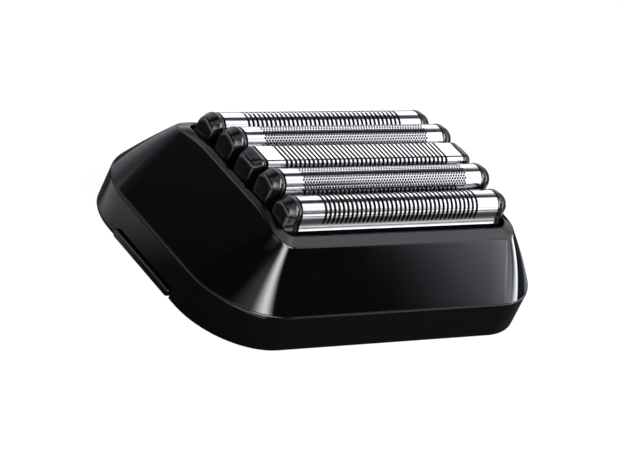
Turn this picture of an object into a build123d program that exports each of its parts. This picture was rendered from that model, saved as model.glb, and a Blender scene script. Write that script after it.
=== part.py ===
"""Five-foil shaver head: hood and skirt around sprung foils, with the cutters and their drive inside.

Millimetres. X runs along the foils, Y to the back and Z up. The origin is the centre of the
skirt's flat lower rim, so the head stands on Z = 0.
"""
import os
from math import acos, atan, cos, degrees, hypot, pi, sin, tan

from build123d import *

# Foils
FOIL_LENGTH = 38.0
FOIL_PITCH = 4.9
FOIL_RADIUS = 2.25
FOIL_FLANK = 1.45
FOIL_SHEET = 0.2
QUARTER_FLAT_COUNT = 3
COMB_CORNER = 0.85
COMB_FLAT_COUNT = 2
OUTER_RISE = 3.5
INNER_RISE = 4.55
MIDDLE_RISE = 4.05
FOIL_FLOAT = 1.2

# Openings in the foils
FOIL_PLAIN_END = 3.5
SLIT_PITCH = 1.55
SLIT_WIDTH = 0.65
SLIT_DROP = 1.7
COMB_SLIT_DROP = 0.6
MESH_PITCH = 2.6
MESH_HOLE = 0.8

# Foil frames with their end caps
CAP_LENGTH = 2.4
CAP_CHAMFER = 0.9
RAIL_HEIGHT = 1.5
RAIL_WALL = 0.4
LEG_INSET = 0.6
LEG_THICKNESS = 1.0
LEG_WIDTH = 2.4
TOE_WIDTH = 3.2
TOE_HEIGHT = 0.6
LEG_CLEARANCE = 0.15

# Hood
OPENING_GAP_END = 0.3
OPENING_GAP_SIDE = 1.0
OPENING_CORNER = 1.9
RIM_LAND_END = 1.1
RIM_LAND_SIDE = 1.65
RIM_CORNER = 2.5
RIM_LEVEL = 6.0
RIM_DROP = 1.25
HOOD_HEIGHT = 9.4
HOOD_FLARE_END = 8.75
HOOD_FLARE_SIDE = 5.0
HOOD_CORNER = 11.1
HOOD_WALL = 1.6
CAVITY_CHAMFER = 6.8
CAVITY_ROOF_CHAMFER = 2.6
HOOD_ROOF = 2.8
RIM_TRIM = 0.6
HOLD_RIB_WALL = 1.2
HOLD_RIB_SPACING = 28.0

# Skirt
SKIRT_HEIGHT = 5.8
SKIRT_STEP = 0.1
SKIRT_WALL = 1.6
LEDGE_THICKNESS = 1.0
LEDGE_SHELF = 1.0
TONGUE_HEIGHT = 1.4
TONGUE_WALL = 1.0
TONGUE_CLEARANCE = 0.35
TONGUE_LENGTH_END = 14.0
TONGUE_LENGTH_SIDE = 34.0
SNAP_WIDTH = 5.0
SNAP_REACH = 0.5
SNAP_HEIGHT = 0.4

# Release tabs
TAB_WIDTH = 14.0
TAB_HEIGHT = 1.1
TAB_PROUD = 0.5
TAB_LIFT = 0.15
TAB_CLEARANCE = 0.25
TAB_TRAVEL = 1.0
TAB_CORNER = 0.4
STEM_WALL = 1.0
STEM_HEIGHT = 4.2
STOP_MARGIN = 1.0
HOOK_REACH = 0.8
HOOK_WIDTH = 6.0
HOOK_HEIGHT = 1.6
HOOK_LEAD = 0.5
HOOK_NOSE = 0.3
RIB_WALL = 0.6
RIB_WIDTH = 3.4
RIB_DROP = 2.6
RIB_GAP = 0.5
TAB_SPRING_LENGTH = 3.0
TAB_SPRING_TOP = 1.0
TAB_SPRING_WIDTH = 1.2
TAB_SPRING_ROOM = 0.75

# Base plate and cassette frame
PLATE_THICKNESS = 1.0
PLATE_CLEARANCE = 0.2
RUNNER_HEIGHT = 0.3
RUNNER_WIDTH = 2.0
GUIDE_WALL = 0.8
GUIDE_CLEARANCE = 0.2
FLOOR_THICKNESS = 1.0
FLOOR_MARGIN_END = 3.8
FLOOR_MARGIN_SIDE = 1.6
FLOOR_CHAMFER = 3.6
FOOT_SIZE = 2.4
FOOT_INSET = 3.0
CASSETTE_CLEARANCE = 0.3
CASSETTE_WALL = 0.4
WALL_CLEARANCE = 0.2

# Drive bridge
BRIDGE_MARGIN = 1.4
BRIDGE_THICKNESS = 1.2
BRIDGE_HEADROOM = 0.3
DRIVE_TRAVEL = 1.0
SOCKET_RADIUS = 1.5
SOCKET_DEPTH = 4.0
SOCKET_WALL = 1.1
SOCKET_ROOF = 0.7
SOCKET_CLEARANCE = 0.4
POST_X = 12.0
POST_LENGTH = 2.0
POST_WIDTH = 1.6
POST_GRIP = 1.5
POST_CLEARANCE = 0.15

# Cutters
CUTTER_GAP = 0.15
CUTTER_END_GAP = 1.4
CARRIER_CLEARANCE = 0.25
BLADE_FLAT_COUNT = 2
BLADE_PITCH = 4.9
BLADE_THICKNESS = 0.6
BLADE_LIFT = 0.1
SPINE_WIDTH = 1.4
SPINE_HEIGHT = 1.7

# Leaf springs
SPRING_SHEET = 0.15
CUTTER_SPRING_RISE = 3.2
CUTTER_SPRING_LENGTH = 6.0
CUTTER_SPRING_TOP = 1.6
CUTTER_SPRING_WIDTH = 1.4
CUTTER_SPRING_X = 6.6
FOIL_SPRING_SOLID = 0.2
FOIL_SPRING_LENGTH = 3.0
FOIL_SPRING_TOP = 1.2
FOIL_SPRING_WIDTH = 0.8

# Cutter length and counts of repeated features that follow
CUTTER_LENGTH = FOIL_LENGTH - 2 * (DRIVE_TRAVEL + CUTTER_END_GAP)
SLIT_COUNT = round((FOIL_LENGTH - 2 * FOIL_PLAIN_END) / SLIT_PITCH)
MESH_COUNT = round((FOIL_LENGTH - 2 * FOIL_PLAIN_END) / MESH_PITCH)
BLADE_COUNT = round(CUTTER_LENGTH / BLADE_PITCH)

# Plan sizes that follow, as half lengths and half widths
OPENING_X = FOIL_LENGTH / 2 + CAP_LENGTH + OPENING_GAP_END
OPENING_Y = 2 * FOIL_PITCH + FOIL_RADIUS + OPENING_GAP_SIDE
RIM_X = OPENING_X + RIM_LAND_END
RIM_Y = OPENING_Y + RIM_LAND_SIDE
HOOD_X = RIM_X + HOOD_FLARE_END
HOOD_Y = RIM_Y + HOOD_FLARE_SIDE
SKIRT_X = HOOD_X + SKIRT_STEP
SKIRT_Y = HOOD_Y + SKIRT_STEP
SKIRT_CORNER = HOOD_CORNER + SKIRT_STEP
END_SLOPE = HOOD_FLARE_END / HOOD_HEIGHT
SIDE_SLOPE = HOOD_FLARE_SIDE / (HOOD_HEIGHT - RIM_DROP)
TIP_RISE = HOOD_CORNER * HOOD_HEIGHT / (HOOD_CORNER - RIM_CORNER)
TONGUE_INSET = HOOD_WALL + (TONGUE_HEIGHT + SNAP_HEIGHT) * END_SLOPE + TONGUE_CLEARANCE
PLATE_INSET = TONGUE_INSET + TONGUE_WALL + PLATE_CLEARANCE
LEDGE_INSET = TONGUE_INSET + TONGUE_WALL + LEDGE_SHELF
FLOOR_X = OPENING_X + FLOOR_MARGIN_END
FLOOR_Y = OPENING_Y + FLOOR_MARGIN_SIDE
CASSETTE_X = OPENING_X - CASSETTE_CLEARANCE
CASSETTE_Y = OPENING_Y - CASSETTE_CLEARANCE
WINDOW_X = FOIL_LENGTH / 2 + WALL_CLEARANCE
BRIDGE_Y = 2 * FOIL_PITCH + BRIDGE_MARGIN
LEG_X = FOIL_LENGTH / 2 + LEG_INSET + LEG_THICKNESS / 2
BOSS_HALF = SOCKET_RADIUS + SOCKET_WALL

# Heights that follow
RIM_Z = SKIRT_HEIGHT + HOOD_HEIGHT
ROOF_Z = RIM_Z - HOOD_ROOF
LEDGE_Z = SKIRT_HEIGHT - LEDGE_THICKNESS
PLATE_TOP = SKIRT_HEIGHT + PLATE_THICKNESS
BRIDGE_Z = PLATE_TOP + RUNNER_HEIGHT
BRIDGE_TOP = BRIDGE_Z + BRIDGE_THICKNESS
FLOOR_Z = BRIDGE_TOP + BRIDGE_HEADROOM
FLOOR_TOP = FLOOR_Z + FLOOR_THICKNESS
LEG_Z = FLOOR_TOP + FOIL_FLOAT + FOIL_SPRING_SOLID
SHOULDER_Z = LEG_Z + TOE_HEIGHT
CARRIER_Z = BRIDGE_TOP + CUTTER_SPRING_RISE
FOIL_DEPTH = FOIL_RADIUS + FOIL_FLANK
CAP_DEPTH = FOIL_DEPTH + RAIL_HEIGHT
WALL_TOP = RIM_Z + OUTER_RISE - CAP_DEPTH - FOIL_FLOAT - WALL_CLEARANCE

# Foil rows from back to front: number, place, crown height, and whether the crown is level on top
FOIL_ROWS = (
    (1, 2 * FOIL_PITCH, RIM_Z + OUTER_RISE, False),
    (2, FOIL_PITCH, RIM_Z + INNER_RISE, False),
    (3, 0.0, RIM_Z + MIDDLE_RISE, True),
    (4, -FOIL_PITCH, RIM_Z + INNER_RISE, False),
    (5, -2 * FOIL_PITCH, RIM_Z + OUTER_RISE, False),
)
MESH_ROWS = (2, 4)
SIDES = (("left", -1), ("right", 1))


def crown_points(level_top, inset, depth, round_flats=QUARTER_FLAT_COUNT):
    """Corners of a foil section as (across, up from the crown), from the right lower edge to the left.

    Each shoulder is a quarter circle taken in equal flats. A round crown has two quarters of the
    full radius, and a level crown has a straight top between two small ones.
    """
    corner = COMB_CORNER if level_top else FOIL_RADIUS
    flats = COMB_FLAT_COUNT if level_top else round_flats
    centre = FOIL_RADIUS - corner
    reach = corner - inset
    angles = [pi / 2 * flat / flats for flat in range(flats + 1)]
    right = [(centre + reach * cos(angle), reach * sin(angle) - corner) for angle in angles]
    right.insert(0, (centre + reach, -depth))
    left = [(-across, up) for across, up in reversed(right) if across > FOIL_SHEET]
    return right + left


def hat_points(length, top, rise):
    """Corners of a bent leaf spring: two sloping legs of even thickness under a level top."""
    run = (length - top) / 2
    foot = SPRING_SHEET * hypot(rise, run) / rise
    inner_top = length / 2 - foot - run * (rise - SPRING_SHEET) / rise
    outside = [(-length / 2, 0), (-top / 2, rise), (top / 2, rise), (length / 2, 0)]
    inside = [(length / 2 - foot, 0), (inner_top, rise - SPRING_SHEET)]
    return outside + inside + [(-across, up) for across, up in reversed(inside)]


def skirt_outline(inset, mode=Mode.ADD):
    """Rounded rectangle that runs parallel to the skirt, this far inside it."""
    return RectangleRounded(
        2 * (SKIRT_X - inset), 2 * (SKIRT_Y - inset), SKIRT_CORNER - inset, mode=mode
    )


os.makedirs("parts", exist_ok=True)

# Corner cones of the hood: each touches an end wall and a side wall, with its tip on their common edge
end_normal = Vector(1, 0, END_SLOPE).normalized()
side_normal = Vector(0, 1, SIDE_SLOPE).normalized()
cone_tip = Vector(HOOD_X - END_SLOPE * TIP_RISE, HOOD_Y - SIDE_SLOPE * TIP_RISE, SKIRT_HEIGHT + TIP_RISE)
end_touch = Vector(HOOD_X, HOOD_Y - HOOD_CORNER, SKIRT_HEIGHT)
end_ruling = (end_touch - cone_tip).normalized()
half_angle = atan(end_ruling.dot(side_normal) / (end_normal.dot(side_normal) - 1))
cone_axis = end_ruling * cos(half_angle) - end_normal * sin(half_angle)
side_ruling = (side_normal * sin(half_angle) + cone_axis).normalized()
end_radial = end_ruling - cone_axis * cos(half_angle)
side_radial = side_ruling - cone_axis * cos(half_angle)
cone_sweep = degrees(acos(end_radial.normalized().dot(side_radial.normalized())))

# Cavity of the hood: parallel to the flat walls, with a flat across each corner
with BuildPart() as hood_cavity:
    CAVITY_RISE = ROOF_Z - SKIRT_HEIGHT
    CAVITY_X = HOOD_X - HOOD_WALL
    CAVITY_Y = HOOD_Y - HOOD_WALL
    ROOF_X = CAVITY_X - END_SLOPE * CAVITY_RISE
    ROOF_Y = CAVITY_Y - SIDE_SLOPE * CAVITY_RISE
    with BuildSketch(Plane.XZ):
        Polygon((0, SKIRT_HEIGHT), (CAVITY_X, SKIRT_HEIGHT), (ROOF_X, ROOF_Z), (0, ROOF_Z), align=None)
    extrude(amount=-CAVITY_Y)
    with BuildSketch(Plane.YZ):
        Polygon((0, SKIRT_HEIGHT), (CAVITY_Y, SKIRT_HEIGHT), (ROOF_Y, ROOF_Z), (0, ROOF_Z), align=None)
    extrude(amount=CAVITY_X, mode=Mode.INTERSECT)
    flat_foot = Vector(CAVITY_X, CAVITY_Y - CAVITY_CHAMFER, SKIRT_HEIGHT)
    flat_along = Vector(-1, 1, 0)
    flat_up = Vector(ROOF_X, ROOF_Y - CAVITY_ROOF_CHAMFER, ROOF_Z) - flat_foot
    split(bisect_by=Plane(flat_foot, x_dir=flat_along, z_dir=flat_up.cross(flat_along)), keep=Keep.TOP)
    mirror(about=Plane.XZ)
    mirror(about=Plane.YZ)

# Hood: flat sloping walls joined by cones that tighten towards the rim, hollow inside
with BuildPart() as hood:
    SHELL_HEIGHT = HOOD_HEIGHT + RIM_TRIM
    SHELL_TOP = SKIRT_HEIGHT + SHELL_HEIGHT
    with BuildSketch(Plane.XZ):
        Polygon((0, SKIRT_HEIGHT), (HOOD_X, SKIRT_HEIGHT),
                (HOOD_X - END_SLOPE * SHELL_HEIGHT, SHELL_TOP), (0, SHELL_TOP), align=None)
    extrude(amount=-HOOD_Y)
    with BuildSketch(Plane.YZ):
        Polygon((0, SKIRT_HEIGHT), (HOOD_Y, SKIRT_HEIGHT),
                (HOOD_Y - SIDE_SLOPE * SHELL_HEIGHT, SHELL_TOP), (0, SHELL_TOP), align=None)
    extrude(amount=HOOD_X, mode=Mode.INTERSECT)
    chord_plane = Plane(cone_tip, x_dir=end_ruling, z_dir=side_ruling.cross(end_ruling))
    split(bisect_by=chord_plane, keep=Keep.TOP)
    cone_plane = Plane(cone_tip, x_dir=cone_axis, z_dir=cone_axis.cross(end_ruling))
    CONE_LENGTH = 2 * TIP_RISE
    with BuildSketch(cone_plane):
        Polygon((0, 0), (CONE_LENGTH, 0), (CONE_LENGTH, CONE_LENGTH * tan(half_angle)), align=None)
    revolve(axis=Axis(cone_tip, -cone_axis), revolution_arc=cone_sweep)
    split(bisect_by=Plane.XY.offset(SKIRT_HEIGHT), keep=Keep.TOP)
    split(bisect_by=Plane.XY.offset(SHELL_TOP), keep=Keep.BOTTOM)
    mirror(about=Plane.XZ)
    mirror(about=Plane.YZ)
    add(hood_cavity.part, mode=Mode.SUBTRACT)
    with BuildSketch(Plane.XY.offset(SKIRT_HEIGHT)):
        RectangleRounded(2 * OPENING_X, 2 * OPENING_Y, OPENING_CORNER)
    extrude(amount=SHELL_HEIGHT, mode=Mode.SUBTRACT)
    with BuildSketch(Plane.YZ):
        with BuildLine():
            RIM_LOW = RIM_Z - RIM_DROP
            TRIM_Y = RIM_Y + HOOD_WALL
            TRIM_TOP = RIM_Z + HOOD_HEIGHT
            Line((-RIM_LEVEL, RIM_Z), (RIM_LEVEL, RIM_Z))
            TangentArc((RIM_LEVEL, RIM_Z), (RIM_Y, RIM_LOW), tangent=(1, 0))
            Polyline((RIM_Y, RIM_LOW), (TRIM_Y, RIM_LOW), (TRIM_Y, TRIM_TOP), (-TRIM_Y, TRIM_TOP),
                     (-TRIM_Y, RIM_LOW), (-RIM_Y, RIM_LOW))
            TangentArc((-RIM_LEVEL, RIM_Z), (-RIM_Y, RIM_LOW), tangent=(-1, 0))
        make_face()
    extrude(amount=HOOD_X, both=True, mode=Mode.SUBTRACT)
    RIB_INNER_Y = OPENING_Y + CASSETTE_CLEARANCE
    RIB_OUTER_Y = ROOF_Y + HOOD_WALL / 2
    with BuildSketch(Plane.XY.offset(FLOOR_TOP)):
        with GridLocations(HOLD_RIB_SPACING, RIB_INNER_Y + RIB_OUTER_Y, 2, 2):
            Rectangle(HOLD_RIB_WALL, RIB_OUTER_Y - RIB_INNER_Y)
    extrude(amount=ROOF_Z - FLOOR_TOP)
hood.part.label = "hood"
export_step(hood.part, "parts/hood.step")

# Skirt: an upright ring with a ledge for the base plate and a tongue that centres the hood
with BuildPart() as skirt:
    with BuildSketch():
        skirt_outline(0)
        skirt_outline(SKIRT_WALL, Mode.SUBTRACT)
    extrude(amount=SKIRT_HEIGHT)
    with BuildSketch(Plane.XY.offset(LEDGE_Z)):
        skirt_outline(SKIRT_WALL / 2)
        Rectangle(2 * (SKIRT_X - LEDGE_INSET), 2 * (SKIRT_Y - LEDGE_INSET), mode=Mode.SUBTRACT)
    extrude(amount=LEDGE_THICKNESS)
    TONGUE_X = SKIRT_X - TONGUE_INSET - TONGUE_WALL / 2
    TONGUE_Y = SKIRT_Y - TONGUE_INSET - TONGUE_WALL / 2
    with BuildSketch(Plane.XY.offset(SKIRT_HEIGHT)):
        with GridLocations(2 * TONGUE_X, 0, 2, 1):
            Rectangle(TONGUE_WALL, TONGUE_LENGTH_END)
        with GridLocations(0, 2 * TONGUE_Y, 1, 2):
            Rectangle(TONGUE_LENGTH_SIDE, TONGUE_WALL)
    extrude(amount=TONGUE_HEIGHT + SNAP_HEIGHT)
    SNAP_Y = TONGUE_Y - TONGUE_WALL / 2
    with BuildSketch(Plane.XY.offset(PLATE_TOP + PLATE_CLEARANCE)):
        with GridLocations(TONGUE_LENGTH_SIDE - SNAP_WIDTH, 2 * SNAP_Y, 2, 2):
            Rectangle(SNAP_WIDTH, 2 * SNAP_REACH)
    extrude(amount=SNAP_HEIGHT)
    NOTCH_WIDTH = TAB_WIDTH + 2 * TAB_CLEARANCE
    NOTCH_HEIGHT = TAB_LIFT + TAB_HEIGHT + TAB_CLEARANCE
    with BuildSketch():
        with GridLocations(2 * SKIRT_X, 0, 2, 1):
            Rectangle(2 * (SKIRT_WALL + TAB_CLEARANCE), NOTCH_WIDTH)
    extrude(amount=NOTCH_HEIGHT, mode=Mode.SUBTRACT)
    STEM_X = SKIRT_X - SKIRT_WALL - TAB_CLEARANCE
    RIB_X = STEM_X - STEM_WALL - TAB_TRAVEL - TAB_SPRING_ROOM - RIB_WALL / 2
    RIB_Y = HOOK_WIDTH + RIB_WIDTH + 2 * RIB_GAP
    with BuildSketch(Plane.XY.offset(LEDGE_Z - RIB_DROP)):
        with GridLocations(2 * RIB_X, RIB_Y, 2, 2):
            Rectangle(RIB_WALL, RIB_WIDTH)
    extrude(amount=RIB_DROP + LEDGE_THICKNESS / 2)
skirt.part.label = "skirt"
export_step(skirt.part, "parts/skirt.step")

# Release tabs: a finger pad in the skirt's notch on a hooked stem, with two leaf springs behind it
for side, sign in SIDES:
    with BuildPart() as release_tab:
        PAD_X = SKIRT_X + TAB_PROUD
        PAD_TOP = TAB_LIFT + TAB_HEIGHT
        with BuildSketch(Plane.YZ.offset(sign * STEM_X)):
            with BuildLine():
                Polyline((-TAB_WIDTH / 2, TAB_LIFT), (TAB_WIDTH / 2, TAB_LIFT),
                         (TAB_WIDTH / 2, PAD_TOP), (-TAB_WIDTH / 2, PAD_TOP), close=True)
            pad = make_face()
            fillet(pad.vertices().group_by(Axis.Y)[-1], TAB_CORNER)
        extrude(amount=sign * (PAD_X - STEM_X))
        STEM_Z = TAB_LIFT
        with BuildSketch(Plane.XY.offset(STEM_Z)):
            with Locations((sign * (STEM_X - STEM_WALL / 2), 0)):
                Rectangle(STEM_WALL, NOTCH_WIDTH + 2 * STOP_MARGIN)
        extrude(amount=STEM_HEIGHT - STEM_Z)
        with BuildSketch(Plane.XZ):
            with BuildLine():
                HOOK_X = STEM_X - STEM_WALL
                NOSE_X = HOOK_X - HOOK_REACH
                NOSE_Z = STEM_HEIGHT - HOOK_LEAD
                Polyline((sign * HOOK_X, STEM_HEIGHT), (sign * NOSE_X, NOSE_Z),
                         (sign * NOSE_X, NOSE_Z - HOOK_NOSE),
                         (sign * HOOK_X, STEM_HEIGHT - HOOK_HEIGHT), close=True)
            make_face()
        extrude(amount=HOOK_WIDTH / 2, both=True)
    release_tab.part.label = f"release_tab_{side}"
    export_step(release_tab.part, f"parts/release_tab_{side}.step")

    with BuildPart() as tab_springs:
        SPRING_FOOT_X = RIB_X + RIB_WALL / 2
        SPRING_Z = LEDGE_Z - RIB_DROP + TAB_SPRING_WIDTH / 2
        spring_plane = Plane(
            origin=(sign * SPRING_FOOT_X, 0, SPRING_Z), x_dir=(0, 1, 0), z_dir=(0, 0, -sign)
        )
        with BuildSketch(spring_plane):
            with Locations((-RIB_Y / 2, 0), (RIB_Y / 2, 0)):
                Polygon(*hat_points(TAB_SPRING_LENGTH, TAB_SPRING_TOP, TAB_TRAVEL + TAB_SPRING_ROOM),
                        align=None)
        extrude(amount=TAB_SPRING_WIDTH / 2, both=True)
    tab_springs.part.label = f"tab_springs_{side}"
    export_step(tab_springs.part, f"parts/tab_springs_{side}.step")

# Base plate: lies on the skirt's ledge, with runners and guide walls for the bridge
with BuildPart() as base_plate:
    with BuildSketch(Plane.XY.offset(SKIRT_HEIGHT)):
        skirt_outline(PLATE_INSET)
        WINDOW_HALF = BOSS_HALF + SOCKET_CLEARANCE
        Rectangle(2 * (WINDOW_HALF + DRIVE_TRAVEL), 2 * WINDOW_HALF, mode=Mode.SUBTRACT)
    extrude(amount=PLATE_THICKNESS)
    with BuildSketch(Plane.XY.offset(PLATE_TOP)):
        with GridLocations(0, 2 * (BRIDGE_Y - RUNNER_WIDTH), 1, 2):
            Rectangle(CUTTER_LENGTH, RUNNER_WIDTH)
    extrude(amount=RUNNER_HEIGHT)
    with BuildSketch(Plane.XY.offset(PLATE_TOP)):
        with GridLocations(0, 2 * (BRIDGE_Y + GUIDE_CLEARANCE + GUIDE_WALL / 2), 1, 2):
            Rectangle(CUTTER_LENGTH, GUIDE_WALL)
    extrude(amount=BRIDGE_TOP - PLATE_TOP)
base_plate.part.label = "base_plate"
export_step(base_plate.part, "parts/base_plate.step")

# Cassette frame: a floor with a cutter window, end walls with a guide slot for each foil leg
with BuildPart() as cassette_frame:
    with BuildSketch(Plane.XY.offset(FLOOR_Z)):
        floor = Rectangle(2 * FLOOR_X, 2 * FLOOR_Y)
        chamfer(floor.vertices(), FLOOR_CHAMFER)
        Rectangle(2 * WINDOW_X, 2 * (CASSETTE_Y - CASSETTE_WALL), mode=Mode.SUBTRACT)
    extrude(amount=FLOOR_THICKNESS)
    with BuildSketch(Plane.XY.offset(PLATE_TOP)):
        with GridLocations(2 * (FLOOR_X - FOOT_INSET), 2 * (FLOOR_Y - FOOT_INSET), 2, 2):
            Rectangle(FOOT_SIZE, FOOT_SIZE)
    extrude(amount=FLOOR_Z - PLATE_TOP)
    with BuildSketch(Plane.XY.offset(FLOOR_TOP)):
        Rectangle(2 * CASSETTE_X, 2 * CASSETTE_Y)
        Rectangle(2 * WINDOW_X, 2 * (CASSETTE_Y - CASSETTE_WALL), mode=Mode.SUBTRACT)
    extrude(amount=WALL_TOP - FLOOR_TOP)
    SLOT_LENGTH = 2 * (LEG_THICKNESS + LEG_CLEARANCE + LEG_INSET - WALL_CLEARANCE)
    with BuildSketch(Plane.XY.offset(FLOOR_TOP)):
        with GridLocations(2 * WINDOW_X, FOIL_PITCH, 2, len(FOIL_ROWS)):
            Rectangle(SLOT_LENGTH, TOE_WIDTH + 2 * LEG_CLEARANCE)
    extrude(amount=SHOULDER_Z - FLOOR_TOP, mode=Mode.SUBTRACT)
    with BuildSketch(Plane.XY.offset(SHOULDER_Z)):
        with GridLocations(2 * WINDOW_X, FOIL_PITCH, 2, len(FOIL_ROWS)):
            Rectangle(SLOT_LENGTH, LEG_WIDTH + 2 * LEG_CLEARANCE)
    extrude(amount=WALL_TOP - SHOULDER_Z, mode=Mode.SUBTRACT)
cassette_frame.part.label = "cassette_frame"
export_step(cassette_frame.part, "parts/cassette_frame.step")

# Drive bridge: a plate on the runners with two guide posts for each cutter and the drive socket
with BuildPart() as drive_bridge:
    with BuildSketch(Plane.XY.offset(BRIDGE_Z)):
        Rectangle(CUTTER_LENGTH, 2 * BRIDGE_Y)
    extrude(amount=BRIDGE_THICKNESS)
    with BuildSketch(Plane.XY.offset(BRIDGE_TOP)):
        with GridLocations(2 * POST_X, FOIL_PITCH, 2, len(FOIL_ROWS)):
            Rectangle(POST_LENGTH, POST_WIDTH)
    extrude(amount=CARRIER_Z + POST_GRIP - BRIDGE_TOP)
    with BuildSketch(Plane.XY.offset(LEDGE_Z)):
        Rectangle(2 * BOSS_HALF, 2 * BOSS_HALF)
    extrude(amount=SOCKET_DEPTH + SOCKET_ROOF)
    with BuildSketch(Plane.XY.offset(LEDGE_Z)):
        Circle(SOCKET_RADIUS)
    extrude(amount=SOCKET_DEPTH, mode=Mode.SUBTRACT)
drive_bridge.part.label = "drive_bridge"
export_step(drive_bridge.part, "parts/drive_bridge.step")

# Foil rows: each has a foil in its frame on two leaf springs, and a sprung cutter under the foil
for number, row_y, crown_z, level_top in FOIL_ROWS:
    section = Plane(origin=(0, row_y, crown_z), x_dir=(0, 1, 0), z_dir=(1, 0, 0))
    above = Plane(origin=(0, row_y, crown_z))

    with BuildPart() as foil:
        with BuildSketch(section):
            with BuildLine():
                Polyline(*crown_points(level_top, 0, FOIL_DEPTH), close=True)
            make_face()
            with BuildLine():
                Polyline(*crown_points(level_top, FOIL_SHEET, FOIL_DEPTH), close=True)
            make_face(mode=Mode.SUBTRACT)
        extrude(amount=FOIL_LENGTH / 2, both=True)
        with BuildSketch(above):
            if number in MESH_ROWS:
                lane = FOIL_RADIUS * sin(pi / (4 * QUARTER_FLAT_COUNT))
                with Locations((MESH_PITCH / 4, lane), (-MESH_PITCH / 4, -lane)):
                    with GridLocations(MESH_PITCH, 1, MESH_COUNT, 1):
                        RegularPolygon(MESH_HOLE / 2, 4)
            else:
                with GridLocations(SLIT_PITCH, 1, SLIT_COUNT, 1):
                    Rectangle(SLIT_WIDTH, FOIL_PITCH)
        extrude(amount=-COMB_SLIT_DROP if level_top else -SLIT_DROP, mode=Mode.SUBTRACT)
    foil.part.label = f"foil_{number}"
    export_step(foil.part, f"parts/foil_{number}.step")

    with BuildPart() as foil_frame:
        with BuildSketch(section.offset(FOIL_LENGTH / 2)):
            with BuildLine():
                Polyline(*crown_points(level_top, 0, CAP_DEPTH), close=True)
            make_face()
        extrude(amount=CAP_LENGTH)
        end_edges = foil_frame.faces().sort_by(Axis.X)[-1].edges().sort_by(Axis.Z)
        chamfer(end_edges[1:], CAP_CHAMFER)
        with BuildSketch(Plane.XY.offset(LEG_Z)):
            with Locations((LEG_X, row_y)):
                Rectangle(LEG_THICKNESS, LEG_WIDTH)
        extrude(amount=crown_z - FOIL_DEPTH - LEG_Z)
        with BuildSketch(Plane.XY.offset(LEG_Z)):
            with Locations((LEG_X, row_y)):
                Rectangle(LEG_THICKNESS, TOE_WIDTH)
        extrude(amount=TOE_HEIGHT)
        mirror(about=Plane.YZ)
        with BuildSketch(Plane.XY.offset(crown_z - CAP_DEPTH)):
            with Locations((0, row_y)):
                with GridLocations(0, 2 * FOIL_RADIUS - RAIL_WALL, 1, 2):
                    Rectangle(FOIL_LENGTH, RAIL_WALL)
        extrude(amount=RAIL_HEIGHT)
    foil_frame.part.label = f"foil_frame_{number}"
    export_step(foil_frame.part, f"parts/foil_frame_{number}.step")

    foil_hat = hat_points(FOIL_SPRING_LENGTH, FOIL_SPRING_TOP, LEG_Z - FLOOR_TOP)
    on_floor = Plane(origin=(0, row_y, FLOOR_TOP), x_dir=(0, 1, 0), z_dir=(1, 0, 0))
    with BuildPart() as foil_springs:
        with BuildSketch(on_floor.offset(-LEG_X), on_floor.offset(LEG_X)):
            Polygon(*foil_hat, align=None)
        extrude(amount=FOIL_SPRING_WIDTH / 2, both=True)
    foil_springs.part.label = f"foil_springs_{number}"
    export_step(foil_springs.part, f"parts/foil_springs_{number}.step")

    BLADE_INSET = FOIL_SHEET + CUTTER_GAP
    BLADE_DEPTH = FOIL_DEPTH - BLADE_LIFT
    CARRIER_TOP = crown_z - BLADE_DEPTH
    blade_places = [(step - (BLADE_COUNT - 1) / 2) * BLADE_PITCH for step in range(BLADE_COUNT)]
    with BuildPart() as cutter_blades:
        with BuildSketch(*[section.offset(place) for place in blade_places]):
            with BuildLine():
                Polyline(*crown_points(level_top, BLADE_INSET, BLADE_DEPTH, BLADE_FLAT_COUNT), close=True)
            make_face()
        extrude(amount=BLADE_THICKNESS / 2, both=True)
        with BuildSketch(Plane.XY.offset(CARRIER_TOP)):
            with Locations((0, row_y)):
                Rectangle((BLADE_COUNT - 1) * BLADE_PITCH, SPINE_WIDTH)
        extrude(amount=SPINE_HEIGHT)
    cutter_blades.part.label = f"cutter_blades_{number}"
    export_step(cutter_blades.part, f"parts/cutter_blades_{number}.step")

    with BuildPart() as cutter_carrier:
        with BuildSketch(Plane.XY.offset(CARRIER_Z)):
            with Locations((0, row_y)):
                Rectangle(CUTTER_LENGTH, 2 * (FOIL_RADIUS - RAIL_WALL - CARRIER_CLEARANCE))
        extrude(amount=CARRIER_TOP - CARRIER_Z)
        with BuildSketch(Plane.XY.offset(CARRIER_Z)):
            with Locations((0, row_y)):
                with GridLocations(2 * POST_X, 1, 2, 1):
                    Rectangle(POST_LENGTH + 2 * POST_CLEARANCE, POST_WIDTH + 2 * POST_CLEARANCE)
        extrude(amount=POST_GRIP + FOIL_FLOAT + POST_CLEARANCE, mode=Mode.SUBTRACT)
    cutter_carrier.part.label = f"cutter_carrier_{number}"
    export_step(cutter_carrier.part, f"parts/cutter_carrier_{number}.step")

    cutter_hat = hat_points(CUTTER_SPRING_LENGTH, CUTTER_SPRING_TOP, CUTTER_SPRING_RISE)
    with BuildPart() as cutter_springs:
        with BuildSketch(Plane(origin=(0, row_y, BRIDGE_TOP), x_dir=(1, 0, 0), z_dir=(0, -1, 0))):
            with Locations((-CUTTER_SPRING_X, 0), (CUTTER_SPRING_X, 0)):
                Polygon(*cutter_hat, align=None)
        extrude(amount=CUTTER_SPRING_WIDTH / 2, both=True)
    cutter_springs.part.label = f"cutter_springs_{number}"
    export_step(cutter_springs.part, f"parts/cutter_springs_{number}.step")
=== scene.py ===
"""Shaver foil head: gloss black hood and skirt around five sprung metal foils, on white.

Metres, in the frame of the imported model: X along the foils, Y to the back, Z up from the lower rim.
Sizes are written in millimetres and turned to metres where the meshes are made.
"""
from math import cos, pi, radians, sin, tan

import bpy
import numpy as np
from mathutils import Matrix, Vector


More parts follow.
